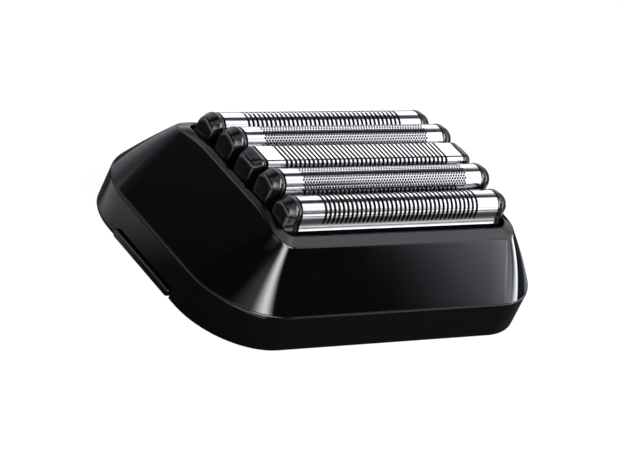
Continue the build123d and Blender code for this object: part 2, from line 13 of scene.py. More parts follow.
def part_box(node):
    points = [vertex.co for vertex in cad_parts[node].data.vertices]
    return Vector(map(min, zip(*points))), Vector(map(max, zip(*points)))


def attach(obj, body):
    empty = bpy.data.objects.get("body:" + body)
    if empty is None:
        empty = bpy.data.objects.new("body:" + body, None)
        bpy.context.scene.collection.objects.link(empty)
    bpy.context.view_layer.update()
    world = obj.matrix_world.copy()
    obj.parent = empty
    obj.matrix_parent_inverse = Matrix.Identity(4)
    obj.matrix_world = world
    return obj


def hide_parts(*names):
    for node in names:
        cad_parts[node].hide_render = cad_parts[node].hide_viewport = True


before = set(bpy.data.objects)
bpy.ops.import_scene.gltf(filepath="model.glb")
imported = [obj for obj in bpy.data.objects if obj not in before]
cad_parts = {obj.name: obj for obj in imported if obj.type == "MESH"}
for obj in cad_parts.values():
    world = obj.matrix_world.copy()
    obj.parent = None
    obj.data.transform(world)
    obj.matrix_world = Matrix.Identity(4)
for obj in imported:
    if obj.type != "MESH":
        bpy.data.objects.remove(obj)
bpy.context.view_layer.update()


# Skirt: the low upright ring under the hood, injection moulded in black ABS. Its lower edge is flat,
# each end is notched for a release tab, and a ledge inside carries the tongues with the snaps that
# hold the base plate. Short ribs under the ledge back the tab springs.
MM = 0.001
SKIRT_X = 31.65
SKIRT_Y = 19.8
SKIRT_CORNER = 11.2
SKIRT_TOP = 5.8
SKIRT_WALL = 1.6
LEDGE_UNDER = 4.8
LEDGE_X = 26.02
LEDGE_Y = 14.17
NOTCH_HALF = 7.25
NOTCH_TOP = 1.5
NOTCH_ROUND = 0.55
SPRING_RIBS_X = 26.75
SPRING_RIBS_Y = 5.2
SPRING_RIB_SIZE = (0.6, 3.4)
SPRING_RIB_UNDER = 2.2
TONGUE_TOP = 7.6
TONGUE_HALF = 0.5
END_TONGUE = (27.52, 7.0)
SIDE_TONGUE = (15.67, 17.0)
SNAP_X = (12.0, 17.0)
SNAP_Y = (14.67, 15.4)
SNAP_Z = (7.0, 7.4)
LEDGE_CORNER = 0.4
ROOT_OVERLAP = 0.4
RIB_CUT = 0.12
SNAP_CUT = 0.08
SKIRT_ARC_STEPS = 28
SKIRT_SIDE_STEPS = 12
# Cuts at the lower and top edge outside, at the ledge's upper and lower rim, and inside where the wall
# meets the ledge and at its lower edge.
SKIRT_CUTS = (0.2, 0.42, 0.1, 0.1, 0.15, 0.15)
# Places round a corner of the notch, as shares of its radius before the notch's edge.
NOTCH_SHARES = (1.4, 1, 0.8, 0.6, 0.4, 0.2, 0.08, 0.02, 0.001, -0.001, -0.4)


def loop_stations(arc_steps, end_shares, side_shares):
    """Stations round a rounded rectangle, anticlockwise from the right end.

    Each has a place from -1 to 1 along both axes, which only moves along the straight runs, and a
    direction that it faces, which only turns round the corners. Both are complex numbers.
    """
    turn = np.exp(1j * np.linspace(0, pi / 2, arc_steps + 1)[:-1])
    places, facings = [], []
    for quarter in range(4):
        shares = np.asarray(side_shares if quarter % 2 else end_shares, float)
        places += [(1 + 1j * shares) * 1j**quarter, np.full(arc_steps, (1 + 1j) * 1j**quarter)]
        facings += [np.full(shares.size, 1j**quarter), turn * 1j**quarter]
    return np.concatenate(places), np.concatenate(facings)


def ring(stations, half_x, half_y, corner, height):
    """Points of a rounded rectangle at the stations: straight part plus the corner radius outwards."""
    place, facing = stations
    x = place.real * (half_x - corner) + facing.real * corner
    y = place.imag * (half_y - corner) + facing.imag * corner
    return np.stack([x, y, np.broadcast_to(height, x.shape)], -1)


def soft_skin(curves, cuts, closed, bend_steps=4, beyond=1.7):
    """Rows of a skin stretched over curves that have the same number of points.

    At a curve with a cut the skin leaves the straight run one cut before it, turns along a parabola
    and is straight again one cut after it. A row a little beyond keeps the straight runs flat.
    """
    rows = []
    for index, (curve, cut) in enumerate(zip(curves, cuts)):
        at_end = not closed and index in (0, len(curves) - 1)
        if cut == 0 or at_end:
            rows.append(curve)
            continue
        before = curves[index - 1] - curve
        after = curves[(index + 1) % len(curves)] - curve
        before = cut * before / np.linalg.norm(before, axis=-1, keepdims=True)
        after = cut * after / np.linalg.norm(after, axis=-1, keepdims=True)
        rows.append(curve + beyond * before)
        shares = np.linspace(0, 1, bend_steps + 1)
        rows += [curve + (1 - share) ** 2 * before + share**2 * after for share in shares]
        rows.append(curve + beyond * after)
    return np.array(rows)


def grid_faces(rows, columns, wrap_rows, wrap_columns):
    """Quads between neighbouring points of a grid, closed on itself where a wrap is asked for."""
    row = np.arange(rows if wrap_rows else rows - 1)[:, None]
    column = np.arange(columns if wrap_columns else columns - 1)[None, :]
    next_row = (row + 1) % rows
    next_column = (column + 1) % columns
    corners = np.broadcast_arrays(
        row * columns + column, row * columns + next_column,
        next_row * columns + next_column, next_row * columns + column,
    )
    return np.stack(corners, -1).reshape(-1, 4)


def tube(rows, wrap_rows=False):
    """Points and faces of rows of closed loops. Rows that don't wrap get a flat lid at both ends."""
    count, columns = rows.shape[:2]
    faces = grid_faces(count, columns, wrap_rows, True).tolist()
    if not wrap_rows:
        faces.append(list(range(columns))[::-1])
        faces.append(list(range((count - 1) * columns, count * columns)))
    return rows.reshape(-1, 3), faces


def soft_box(low, high, cut, lid_inset=1.8, lid_corner=0.3, arc_steps=3):
    """A block between two corners whose edges are rounded off by the cut."""
    low, high = np.array(low, float), np.array(high, float)
    centre = (low + high) / 2
    half = (high - low) / 2
    stations = loop_stations(arc_steps, [-1], [-1])
    offset = np.array([centre[0], centre[1], 0])
    lid_half = half - lid_inset * cut
    levels = (low[2], high[2])
    lids = [ring(stations, lid_half[0], lid_half[1], lid_corner * cut, z) + offset for z in levels]
    sides = [ring(stations, half[0], half[1], cut, z) + offset for z in levels]
    return tube(soft_skin([lids[0], *sides, lids[1]], (0, cut, cut, 0), False))


def make_piece(name, parts, material, body, replaced, sharp=50):
    """One object from several point and face lists, smooth except across sharp edges and at open rims.

    It rides the body and stands for the replaced nodes. Sharp is in degrees.
    """
    points, faces, start = [], [], 0
    for part_points, part_faces in parts:
        points.append(np.asarray(part_points) * MM)
        faces += [[start + index for index in face] for face in part_faces]
        start += len(part_points)
    mesh = bpy.data.meshes.new(name)
    mesh.from_pydata(np.concatenate(points).tolist(), [], faces)
    mesh.update()
    mesh.polygons.foreach_set("use_smooth", np.ones(len(mesh.polygons), bool))
    mesh.set_sharp_from_angle(angle=radians(sharp))
    uses = np.empty(len(mesh.loops), int)
    mesh.loops.foreach_get("edge_index", uses)
    creased = np.empty(len(mesh.edges), bool)
    mesh.edges.foreach_get("use_edge_sharp", creased)
    creased |= np.bincount(uses, minlength=len(mesh.edges)) == 1
    mesh.edges.foreach_set("use_edge_sharp", creased)
    mesh.materials.append(material)
    piece = bpy.data.objects.new(name, mesh)
    bpy.context.scene.collection.objects.link(piece)
    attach(piece, body)
    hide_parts(*replaced)
    return piece


def linear(code):
    """Linear RGBA of an sRGB hex colour by the standard's curve: straight near black, then a power."""
    channels = np.array([int(code[i:i + 2], 16) for i in (1, 3, 5)]) / 255
    values = np.where(channels <= 0.04045, channels / 12.92, ((channels + 0.055) / 1.055) ** 2.4)
    return (*values.tolist(), 1.0)


def add_node(tree, kind, values=(), links=(), **settings):
    """Adds one node, sets its properties and socket values, and links its inputs."""
    node = tree.nodes.new(kind)
    for key, setting in settings.items():
        setattr(node, key, setting)
    for socket, value in dict(values).items():
        node.inputs[socket].default_value = value
    for socket, source in dict(links).items():
        tree.links.new(source, node.inputs[socket])
    return node


def new_material(name):
    """An empty node material with its output node and Object coordinates."""
    material = bpy.data.materials.new(name)
    material.use_nodes = True
    tree = material.node_tree
    tree.nodes.clear()
    output = add_node(tree, "ShaderNodeOutputMaterial")
    place = add_node(tree, "ShaderNodeTexCoord").outputs["Object"]
    return material, tree, output, place


def black_abs(name, colour, specular, roughness, grain_size, grain_depth):
    """Moulded black ABS: flow waves, duller patches, and the mould's own grain in millimetres."""
    material, tree, output, place = new_material(name)
    wave_length, wave_depth, haze_length = 7.0, 0.2, 4.0
    waves = add_node(
        tree, "ShaderNodeTexNoise", {"Scale": 1 / (wave_length * MM), "Detail": 1.0}, {"Vector": place},
    )
    wave_bump = add_node(
        tree, "ShaderNodeBump", {"Strength": 0.02, "Distance": wave_depth * MM},
        {"Height": waves.outputs["Fac"]},
    )
    grain = add_node(
        tree, "ShaderNodeTexNoise", {"Scale": 1 / (grain_size * MM), "Detail": 2.0}, {"Vector": place},
    )
    grain_bump = add_node(
        tree, "ShaderNodeBump", {"Strength": 0.12, "Distance": grain_depth * MM},
        {"Height": grain.outputs["Fac"], "Normal": wave_bump.outputs["Normal"]},
    )
    haze = add_node(
        tree, "ShaderNodeTexNoise", {"Scale": 1 / (haze_length * MM), "Detail": 4.0}, {"Vector": place},
    )
    haze_range = add_node(
        tree, "ShaderNodeMapRange",
        {"From Min": 0.35, "From Max": 0.75, "To Min": roughness[0], "To Max": roughness[1]},
        {"Value": haze.outputs["Fac"]},
    )
    shader = add_node(
        tree, "ShaderNodeBsdfPrincipled",
        {"Base Color": linear(colour), "IOR": 1.5, "Specular IOR Level": specular},
        {"Roughness": haze_range.outputs["Result"], "Normal": grain_bump.outputs["Normal"]},
    )
    tree.links.new(shader.outputs["BSDF"], output.inputs["Surface"])
    return material


# The skirt's ABS comes from a stoned mould: black, with a lower gloss than the hood above it.
stoned_abs = black_abs("stoned_black_abs", "#040405", 0.3, (0.1, 0.18), 0.2, 0.004)

notch_edge = NOTCH_HALF - NOTCH_ROUND * np.array(NOTCH_SHARES)
end_run = SKIRT_Y - SKIRT_CORNER
end_shares = np.concatenate([[-1], -notch_edge[::-1] / end_run, [0], notch_edge / end_run])
skirt_loop = loop_stations(SKIRT_ARC_STEPS, end_shares, np.linspace(-1, 1, SKIRT_SIDE_STEPS + 1)[:-1])


def notch_height(across):
    """Height of the skirt's lower edge: the top of the notch with quarter-round corners, else zero."""
    into_corner = np.clip(np.abs(across) - (NOTCH_HALF - NOTCH_ROUND), 0, NOTCH_ROUND)
    top = NOTCH_TOP - NOTCH_ROUND + np.sqrt(NOTCH_ROUND**2 - into_corner**2)
    return np.where(np.abs(across) < NOTCH_HALF, top, 0.0)


def skirt_ring(inset, height):
    """The skirt's outline moved inwards."""
    return ring(skirt_loop, SKIRT_X - inset, SKIRT_Y - inset, SKIRT_CORNER - inset, height)


on_end = np.abs(skirt_loop[0].real) == 1
lower_edge = np.where(on_end, notch_height(skirt_loop[0].imag * end_run), 0.0)
skirt_curves = [
    skirt_ring(0, lower_edge), skirt_ring(0, SKIRT_TOP),
    ring(skirt_loop, LEDGE_X, LEDGE_Y, LEDGE_CORNER, SKIRT_TOP),
    ring(skirt_loop, LEDGE_X, LEDGE_Y, LEDGE_CORNER, LEDGE_UNDER),
    skirt_ring(SKIRT_WALL, LEDGE_UNDER), skirt_ring(SKIRT_WALL, lower_edge),
]
skirt_parts = [tube(soft_skin(skirt_curves, SKIRT_CUTS, True), wrap_rows=True)]
root = LEDGE_UNDER + ROOT_OVERLAP
for side_x in (-1, 1):
    for side_y in (-1, 1):
        rib_x, rib_y = side_x * SPRING_RIBS_X, side_y * SPRING_RIBS_Y
        rib_half = np.array(SPRING_RIB_SIZE) / 2
        skirt_parts.append(soft_box(
            (rib_x - rib_half[0], rib_y - rib_half[1], SPRING_RIB_UNDER),
            (rib_x + rib_half[0], rib_y + rib_half[1], root), RIB_CUT,
        ))
        snap_x = sorted((side_x * SNAP_X[0], side_x * SNAP_X[1]))
        snap_y = sorted((side_y * SNAP_Y[0], side_y * SNAP_Y[1]))
        skirt_parts.append(soft_box(
            (snap_x[0], snap_y[0], SNAP_Z[0]), (snap_x[1], snap_y[1], SNAP_Z[1]), SNAP_CUT,
        ))
    tongue_x, tongue_y = side_x * END_TONGUE[0], side_x * SIDE_TONGUE[0]
    skirt_parts.append(soft_box(
        (tongue_x - TONGUE_HALF, -END_TONGUE[1], root),
        (tongue_x + TONGUE_HALF, END_TONGUE[1], TONGUE_TOP), RIB_CUT,
    ))
    skirt_parts.append(soft_box(
        (-SIDE_TONGUE[1], tongue_y - TONGUE_HALF, root),
        (SIDE_TONGUE[1], tongue_y + TONGUE_HALF, TONGUE_TOP), RIB_CUT,
    ))
make_piece("skirt_ring", skirt_parts, stoned_abs, "housing", ["skirt"])


# Release tabs: a finger pad in each end notch of the skirt, moulded in black ABS with a fine satin
# finish. Behind the wall it carries a stop and a hook that holds the shaver's neck.
PAD_HALF = 7.0
PAD_LOW = 0.15
PAD_HIGH = 1.25
PAD_INNER = 29.8
PAD_OUTER = 32.15
STEM_INNER = 28.8
STEM_HALF = 8.25
STEM_TOP = 4.2
HOOK_HALF = 3.0
PAD_CUT = 0.3
STEM_CUT = 0.12
HOOK_PROFILE = ((28.9, 4.2), (28.8, 4.2), (28.0, 3.7), (28.0, 3.4), (28.8, 2.6), (28.9, 2.6))

# A fine spark-eroded grain spreads the reflections on the tabs into a soft sheen.
satin_abs = black_abs("satin_black_abs", "#08080a", 0.36, (0.1, 0.17), 0.12, 0.004)

for side, sign in (("left", -1), ("right", 1)):
    pad = soft_box((PAD_INNER, -PAD_HALF, PAD_LOW), (PAD_OUTER, PAD_HALF, PAD_HIGH), PAD_CUT)
    stem = soft_box((STEM_INNER, -STEM_HALF, PAD_LOW), (PAD_INNER, STEM_HALF, STEM_TOP), STEM_CUT)
    profile = np.array(HOOK_PROFILE)
    hook_rows = np.array([
        np.stack([profile[:, 0], np.full(len(profile), y), profile[:, 1]], -1)
        for y in (-HOOK_HALF, HOOK_HALF)
    ])
    tab_parts = []
    for points, faces in (pad, stem, tube(hook_rows)):
        tab_parts.append((points * (sign, 1, 1), [face[::sign] for face in faces]))
    make_piece(
        f"release_pad_{side}", tab_parts, satin_abs, f"tab_{side}",
        [f"release_tab_{side}"], sharp=35,
    )


# Hood: the tapered cover, injection moulded in one piece in gloss black ABS. Its flat walls
# are slightly crowned and meet in cones that tighten towards the rim. The rim is a narrow land
# round the foil opening, level at the ends and arched down to the front and back.
HOOD_X = 31.55
HOOD_Y = 19.7
HOOD_CORNER = 11.1
HOOD_RISE = 9.4
RIM_CORNER = 2.5
RIM_DROP = 1.25
RIM_LEVEL = 6.0
RIM_X = 22.8
RIM_Y = 14.7
OPENING_X = 21.7
OPENING_Y = 13.05
OPENING_CORNER = 1.9
HOOD_WALL = 1.6
HOOD_CROWN = 0.04
CORNER_CROWN = 0.2
LAND_LIFT = 0.42
HOLD_RIBS_X = 14.0
HOLD_RIB_HALF = 0.6
HOLD_RIB_Y = (13.35, 14.85)
HOLD_RIB_UNDER = 9.6
HOLD_RIB_CUT = 0.1
HOLD_RIB_OVERLAP = 0.2
MIN_CORNER = 0.3
ROOF_UNDER = 12.4
FOOT_CUT = 0.06
RIM_CUT = 0.22
OPENING_CUT = 0.18
HOOD_ARC_STEPS = 40
HOOD_END_STEPS = 40
HOOD_SIDE_STEPS = 12
RIM_ROUNDS = 12
WALL_SHARES = (0.06, 0.15, 0.3, 0.45, 0.6, 0.75, 0.87, 0.94)
end_slope = (HOOD_X - RIM_X) / HOOD_RISE
side_slope = (HOOD_Y - RIM_Y) / (HOOD_RISE - RIM_DROP)
tip_rise = HOOD_CORNER * HOOD_RISE / (HOOD_CORNER - RIM_CORNER)
rim_top = SKIRT_TOP + HOOD_RISE
hood_loop = loop_stations(
    HOOD_ARC_STEPS,
    np.linspace(-1, 1, HOOD_END_STEPS + 1)[:-1], np.linspace(-1, 1, HOOD_SIDE_STEPS + 1)[:-1],
)


def rim_height(across):
    """Height of the rim: level in the middle, then a circular arc that starts level and drops."""
    run = RIM_Y - RIM_LEVEL
    radius = (run**2 + RIM_DROP**2) / (2 * RIM_DROP)
    past = np.maximum(np.abs(across) - RIM_LEVEL, 0)
    return rim_top - radius + np.sqrt(radius**2 - past**2)


def hood_ring(rise, inset):
    """Outline of the hood at a rise above the skirt: walls lean in evenly and corners tighten."""
    corner = np.maximum(HOOD_CORNER * (1 - rise / tip_rise) - inset, MIN_CORNER)
    half_x = HOOD_X - end_slope * rise - inset
    half_y = HOOD_Y - side_slope * rise - inset
    return ring(hood_loop, half_x, half_y, corner, SKIRT_TOP + rise)


# The rim's height depends on the place across, which depends on the height, so it settles in rounds.
rim_rise = np.full(hood_loop[0].shape, HOOD_RISE)
for settle in range(RIM_ROUNDS):
    rim_rise = rim_height(hood_ring(rim_rise, 0)[:, 1]) - SKIRT_TOP
rim_outer = hood_ring(rim_rise, 0)
outward = np.stack([hood_loop[1].real, hood_loop[1].imag, np.zeros(hood_loop[1].shape)], -1)
foot = hood_ring(np.zeros_like(rim_rise), 0)
# The walls bulge a little between foot and rim, and the corners more.
bulge = (HOOD_CROWN + CORNER_CROWN * (2 * outward[:, :1] * outward[:, 1:2]) ** 2) * outward
walls = [foot + share * (rim_outer - foot) + 4 * share * (1 - share) * bulge for share in WALL_SHARES]
rim_inner = ring(hood_loop, OPENING_X, OPENING_Y, OPENING_CORNER, 0.0)
rim_inner[:, 2] = rim_height(rim_inner[:, 1]) + LAND_LIFT
hood_curves = [
    hood_ring(np.zeros_like(rim_rise), HOOD_WALL), foot, *walls, rim_outer, rim_inner,
    ring(hood_loop, OPENING_X, OPENING_Y, OPENING_CORNER, ROOF_UNDER),
    hood_ring(np.full_like(rim_rise, ROOF_UNDER - SKIRT_TOP), HOOD_WALL),
]
hood_cuts = (0, FOOT_CUT, *[0] * len(walls), RIM_CUT, OPENING_CUT, 0, 0)
hood_parts = [tube(soft_skin(hood_curves, hood_cuts, True), wrap_rows=True)]
for side_x in (-1, 1):
    for side_y in (-1, 1):
        rib_x = side_x * HOLD_RIBS_X
        rib_y = sorted((side_y * HOLD_RIB_Y[0], side_y * HOLD_RIB_Y[1]))
        hood_parts.append(soft_box(
            (rib_x - HOLD_RIB_HALF, rib_y[0], HOLD_RIB_UNDER),
            (rib_x + HOLD_RIB_HALF, rib_y[1], ROOF_UNDER + HOLD_RIB_OVERLAP), HOLD_RIB_CUT,
        ))

# Mould-polished ABS gives the hood a deep black with clear reflections that waver slightly.
polished_abs = black_abs("mould_polished_black_abs", "#030303", 0.375, (0.03, 0.07), 0.3, 0.001)
make_piece("hood_shell", hood_parts, polished_abs, "housing", ["hood"])


# Foils: thin sheets of bright nickel, electroformed with their openings and bent over a bullet
# section. The outer pair and the level middle one have slits, the other two a fine staggered mesh.
# Slits and mesh are drawn a little coarser than the real ones, so that they show in the picture.
FOIL_ROWS = (1, 2, 3, 4, 5)
MIDDLE_ROW = 3
FOIL_RADIUS = 2.25
COMB_RADIUS = 0.85
FOIL_DEPTH = 3.7
SHEET = 0.08
FLARE_START = 2.25
FLARE = {1: 0.33, 5: -0.33}
FLANK_STEPS = 9
SLIT_PITCH = 0.84
SLIT_WIDTH = 0.47
SLIT_POINT = 0.7
SLIT_POINT_SHARE = 0.2
SLIT_LINES = 49
# Number of slits, and how far they reach down from the crown's middle.
SLIT_ROWS = {1: (36, 4.2), 3: (38, 3.2), 5: (36, 4.2)}
MESH_PITCH = 0.52
MESH_ROW_PITCH = 0.38
MESH_HOLE = 0.34
MESH_ENDS = 15.8
MESH_REACH = 3.3
# A hole spans three lines of points. Half its width there, as a share of its height:
MESH_HOLE_SHARES = (0.35, 0.64, 0.35)

# Bright nickel: almost a mirror, with faint drawing lines along the sheet.
foil_nickel, tree, output, place = new_material("bright_nickel_foil")
DRAW_LINE_WIDTH = 0.05
DRAW_LINE_SLIMNESS = 0.03
stretch = add_node(
    tree, "ShaderNodeMapping",
    {"Scale": (
        DRAW_LINE_SLIMNESS / (DRAW_LINE_WIDTH * MM),
        1 / (DRAW_LINE_WIDTH * MM), 1 / (DRAW_LINE_WIDTH * MM),
    )},
    {"Vector": place},
)
lines = add_node(
    tree, "ShaderNodeTexNoise", {"Scale": 1.0, "Detail": 2.0}, {"Vector": stretch.outputs["Vector"]},
)
line_range = add_node(
    tree, "ShaderNodeMapRange", {"From Min": 0.3, "From Max": 0.7, "To Min": 0.1, "To Max": 0.18},
    {"Value": lines.outputs["Fac"]},
)
nickel = add_node(
    tree, "ShaderNodeBsdfPrincipled", {"Base Color": linear("#cfcfd1"), "Metallic": 1.0},
    {"Roughness": line_range.outputs["Result"]},
)
tree.links.new(nickel.outputs["BSDF"], output.inputs["Surface"])

# The inside and the opening walls get a dull nickel darkened to a painted shade, so that the openings
# read as dark.
shade_darkened_inner_nickel, tree, output, place = new_material("dull_nickel_inside_painted_dark")
BLOTCH = 0.4
blotches = add_node(
    tree, "ShaderNodeTexNoise", {"Scale": 1 / (BLOTCH * MM), "Detail": 3.0}, {"Vector": place},
)
blotch_range = add_node(
    tree, "ShaderNodeMapRange", {"To Min": 0.45, "To Max": 0.7}, {"Value": blotches.outputs["Fac"]},
)
dull = add_node(
    tree, "ShaderNodeBsdfPrincipled", {"Base Color": linear("#2b2b2c"), "Metallic": 1.0},
    {"Roughness": blotch_range.outputs["Result"]},
)
tree.links.new(dull.outputs["BSDF"], output.inputs["Surface"])


def crown(along, radius, half_width, flare):
    """Section of a foil by signed length from the crown's middle: flat, quarter round, straight, flare.

    The flare moves one flank outwards with the square of the way down from its start, the far one when
    it is positive and the near one when it is negative. Returns the place across and the height below
    the crown.
    """
    flat = half_width - radius
    length = np.abs(along)
    angle = np.clip((length - flat) / radius, 0, pi / 2)
    below = radius * (1 - np.cos(angle)) + np.maximum(length - flat - radius * pi / 2, 0)
    down = np.clip((below - FLARE_START) / (FOIL_DEPTH - FLARE_START), 0, 1)
    outwards = np.maximum(np.sign(along) * flare, 0) * down**2
    across = np.minimum(length, flat) + radius * np.sin(angle) + outwards
    return np.sign(along) * across, below


def crown_length(radius, half_width, depth):
    """Length of the section from the crown's middle to the lower edge."""
    return half_width - radius + radius * pi / 2 + depth - radius


for row in FOIL_ROWS:
    low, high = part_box(f"foil_{row}")
    row_y = (low.y + high.y) / 2 / MM
    crown_z = high.z / MM
    half_length = high.x / MM
    radius = COMB_RADIUS if row == MIDDLE_ROW else FOIL_RADIUS
    edge = crown_length(radius, FOIL_RADIUS, FOIL_DEPTH)
    if row in SLIT_ROWS:
        count, reach = SLIT_ROWS[row]
        along = np.linspace(-reach, reach, SLIT_LINES)
        to_end = np.clip((reach - np.abs(along)) / SLIT_POINT, 0, 1)
        half_opening = SLIT_WIDTH / 2 * (SLIT_POINT_SHARE + (1 - SLIT_POINT_SHARE) * np.sqrt(to_end))
        shift = np.zeros(along.size)
        pitch = SLIT_PITCH
        open_lines = np.ones(along.size - 1, bool)
    else:
        count = round(2 * MESH_ENDS / MESH_PITCH)
        hole_rows = 2 * int(MESH_REACH / MESH_ROW_PITCH) + 1
        hole_lines = len(MESH_HOLE_SHARES)
        hole_row = np.repeat(np.arange(hole_rows), hole_lines)
        line = np.tile(np.arange(hole_lines), hole_rows)
        along = (hole_row - (hole_rows - 1) / 2) * MESH_ROW_PITCH + (line - 1) * MESH_HOLE / 2
        half_opening = np.array(MESH_HOLE_SHARES)[line] * MESH_HOLE
        shift = np.where(hole_row % 2 == 1, MESH_PITCH / 4, -MESH_PITCH / 4)
        pitch = MESH_PITCH
        open_lines = line[:-1] < hole_lines - 1
    middles = (np.arange(count) - (count - 1) / 2) * pitch
    openings = (middles + shift[:, None])[..., None] + half_opening[:, None, None] * np.array([-1, 1])
    ends = np.full((along.size, 1), half_length)
    x_lines = np.concatenate([-ends, openings.reshape(along.size, -1), ends], 1)
    in_opening = np.arange(x_lines.shape[1] - 1) % 2 == 1
    flank = np.linspace(along[-1], edge, FLANK_STEPS + 1)[1:]
    along = np.concatenate([-flank[::-1], along, flank])[:, None]
    x_lines = np.concatenate([
        np.repeat(x_lines[:1], FLANK_STEPS, 0), x_lines, np.repeat(x_lines[-1:], FLANK_STEPS, 0),
    ])
    open_lines = np.pad(open_lines, FLANK_STEPS)
    across, below = crown(along, radius, FOIL_RADIUS, FLARE.get(row, 0))
    points = np.stack(np.broadcast_arrays(x_lines, row_y + across, crown_z - below), -1)
    faces = grid_faces(*points.shape[:2], False, False)
    solid = ~(open_lines[:, None] & in_opening).ravel()
    foil = make_piece(
        f"foil_sheet_{row}", [(points.reshape(-1, 3), faces[solid].tolist())], foil_nickel,
        f"foil_unit_{row}", [f"foil_{row}"], sharp=60,
    )
    thickness = foil.modifiers.new("sheet_thickness", "SOLIDIFY")
    thickness.thickness = SHEET * MM
    thickness.offset = -1
    # The inside and the openings' walls take the nickel darkened to a painted shade.
    foil.data.materials.append(shade_darkened_inner_nickel)
    thickness.material_offset = 1
    thickness.material_offset_rim = 1


# Foil frames: moulded black ABS end caps that hold a foil's ends, joined by a rail under each long edge
# of the foil. A leg under each cap runs in the cassette's guide slots.
CAP_END = 21.55
CAP_DEPTH = 5.2
CAP_LIP = 0.05
GROOVE = (0.1, 0.3)
BEAD_WIDTH = 1.25
BEAD_ROUND = 1.0
CONE_SLOPE = 0.42
NOSE_ROUND = 0.95
MIN_CAP_ROUND = 1.0
RAIL_WALL = 0.4
LEG_X = (19.6, 20.6)
LEG_HALF = 1.2
TOE_HALF = 1.6
LEG_UNDER = 11.0
TOE_TOP = 11.6
LEG_CUT = 0.1
LEG_OVERLAP = 0.4
RAIL_CUT = 0.08
RAIL_OVERLAP = 0.3
CAP_POINTS = 61
BEAD_POINTS = 11
NOSE_POINTS = 10

# The caps' rougher grain blurs the lights on their round noses.
grained_abs = black_abs("grained_black_abs", "#060608", 0.42, (0.16, 0.23), 0.12, 0.004)


def cap_loop(x, inset, radius, row_y, crown_z, flare):
    """Closed section of a cap at x, moved inwards: the foil's crown and flanks over a level foot."""
    half_width = FOIL_RADIUS + CAP_LIP - inset
    round_off = min(max(radius - inset, MIN_CAP_ROUND), half_width)
    edge = crown_length(round_off, half_width, CAP_DEPTH - inset)
    across, below = crown(np.linspace(-edge, edge, CAP_POINTS), round_off, half_width, flare)
    return np.stack([np.full(across.shape, x), row_y + across, crown_z + CAP_LIP - inset - below], -1)


for row in FOIL_ROWS:
    low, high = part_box(f"foil_{row}")
    row_y = (low.y + high.y) / 2 / MM
    crown_z = high.z / MM
    start = high.x / MM + GROOVE[0]
    radius = COMB_RADIUS if row == MIDDLE_ROW else FOIL_RADIUS
    across_bead = np.linspace(-1, 1, BEAD_POINTS) * BEAD_WIDTH / 2
    bead_inset = BEAD_ROUND - np.sqrt(BEAD_ROUND**2 - across_bead**2)
    nose_turn = np.linspace(CONE_SLOPE, pi / 2, NOSE_POINTS)
    nose_x = CAP_END - NOSE_ROUND * (1 - np.sin(nose_turn))
    cone_inset = bead_inset[-1] + (nose_x[0] - start - BEAD_WIDTH) * tan(CONE_SLOPE)
    # Places along a cap with their insets: the groove by the foil, the round bead, the cone and the nose.
    stages = [(start - 2 * GROOVE[0], GROOVE[1]), (start, GROOVE[1])]
    stages += list(zip(start + BEAD_WIDTH / 2 + across_bead, bead_inset))
    stages += list(zip(nose_x, cone_inset + NOSE_ROUND * (cos(CONE_SLOPE) - np.cos(nose_turn))))
    frame_parts = []
    for sign in (-1, 1):
        cap_rows = np.array([
            cap_loop(*stage, radius, row_y, crown_z, FLARE.get(row, 0)) for stage in stages
        ])
        points, faces = tube(cap_rows)
        frame_parts.append((points * (sign, 1, 1), [face[::-sign] for face in faces]))
        leg_ends = sorted((sign * LEG_X[0], sign * LEG_X[1]))
        frame_parts.append(soft_box(
            (leg_ends[0], row_y - LEG_HALF, TOE_TOP),
            (leg_ends[1], row_y + LEG_HALF, crown_z - CAP_DEPTH + LEG_OVERLAP), LEG_CUT,
        ))
        frame_parts.append(soft_box(
            (leg_ends[0], row_y - TOE_HALF, LEG_UNDER), (leg_ends[1], row_y + TOE_HALF, TOE_TOP), LEG_CUT,
        ))
        rail_y = row_y + sign * (FOIL_RADIUS - RAIL_WALL / 2)
        frame_parts.append(soft_box(
            (-start - RAIL_OVERLAP, rail_y - RAIL_WALL / 2, crown_z - CAP_DEPTH),
            (start + RAIL_OVERLAP, rail_y + RAIL_WALL / 2, crown_z - FOIL_DEPTH), RAIL_CUT,
        ))
    make_piece(
        f"foil_cap_frame_{row}", frame_parts, grained_abs, f"foil_unit_{row}",
        [f"foil_frame_{row}"], sharp=40,
    )


# Cutters: under each foil a row of thin arched blades, stamped from steel strip, ground along the arch
# and held by a spine in the carrier. Together they fill the foil, and their steel is darkened to a
# painted shade so that the foil's inside reads dark. There are fewer and thicker ones than in a real
# cutter.
BLADE_PITCH = 0.62
BLADE_THICKNESS = 0.14
BLADE_SPINE_HALF = 0.7
BLADE_SPINE_HEIGHT = 1.7
BLADE_SPINE_CUT = 0.05
BLADE_POINTS = 33

# The blade steel is darkened to a painted shade, so that the foil's inside reads dark through the
# openings.
shade_darkened_blade_steel, tree, output, place = new_material("ground_blade_steel")
GRIND_LENGTH = 0.6
GRIND_WIDTH = 0.06
grind_scale = add_node(
    tree, "ShaderNodeMapping",
    {"Scale": (1 / (GRIND_LENGTH * MM), 1 / (GRIND_LENGTH * MM), 1 / (GRIND_WIDTH * MM))},
    {"Vector": place},
)
grind = add_node(
    tree, "ShaderNodeTexNoise", {"Scale": 1.0, "Detail": 2.0}, {"Vector": grind_scale.outputs["Vector"]},
)
grind_range = add_node(
    tree, "ShaderNodeMapRange", {"To Min": 0.25, "To Max": 0.45}, {"Value": grind.outputs["Fac"]},
)
blade_shader = add_node(
    tree, "ShaderNodeBsdfPrincipled", {"Base Color": linear("#232326"), "Metallic": 1.0},
    {"Roughness": grind_range.outputs["Result"]},
)
tree.links.new(blade_shader.outputs["BSDF"], output.inputs["Surface"])

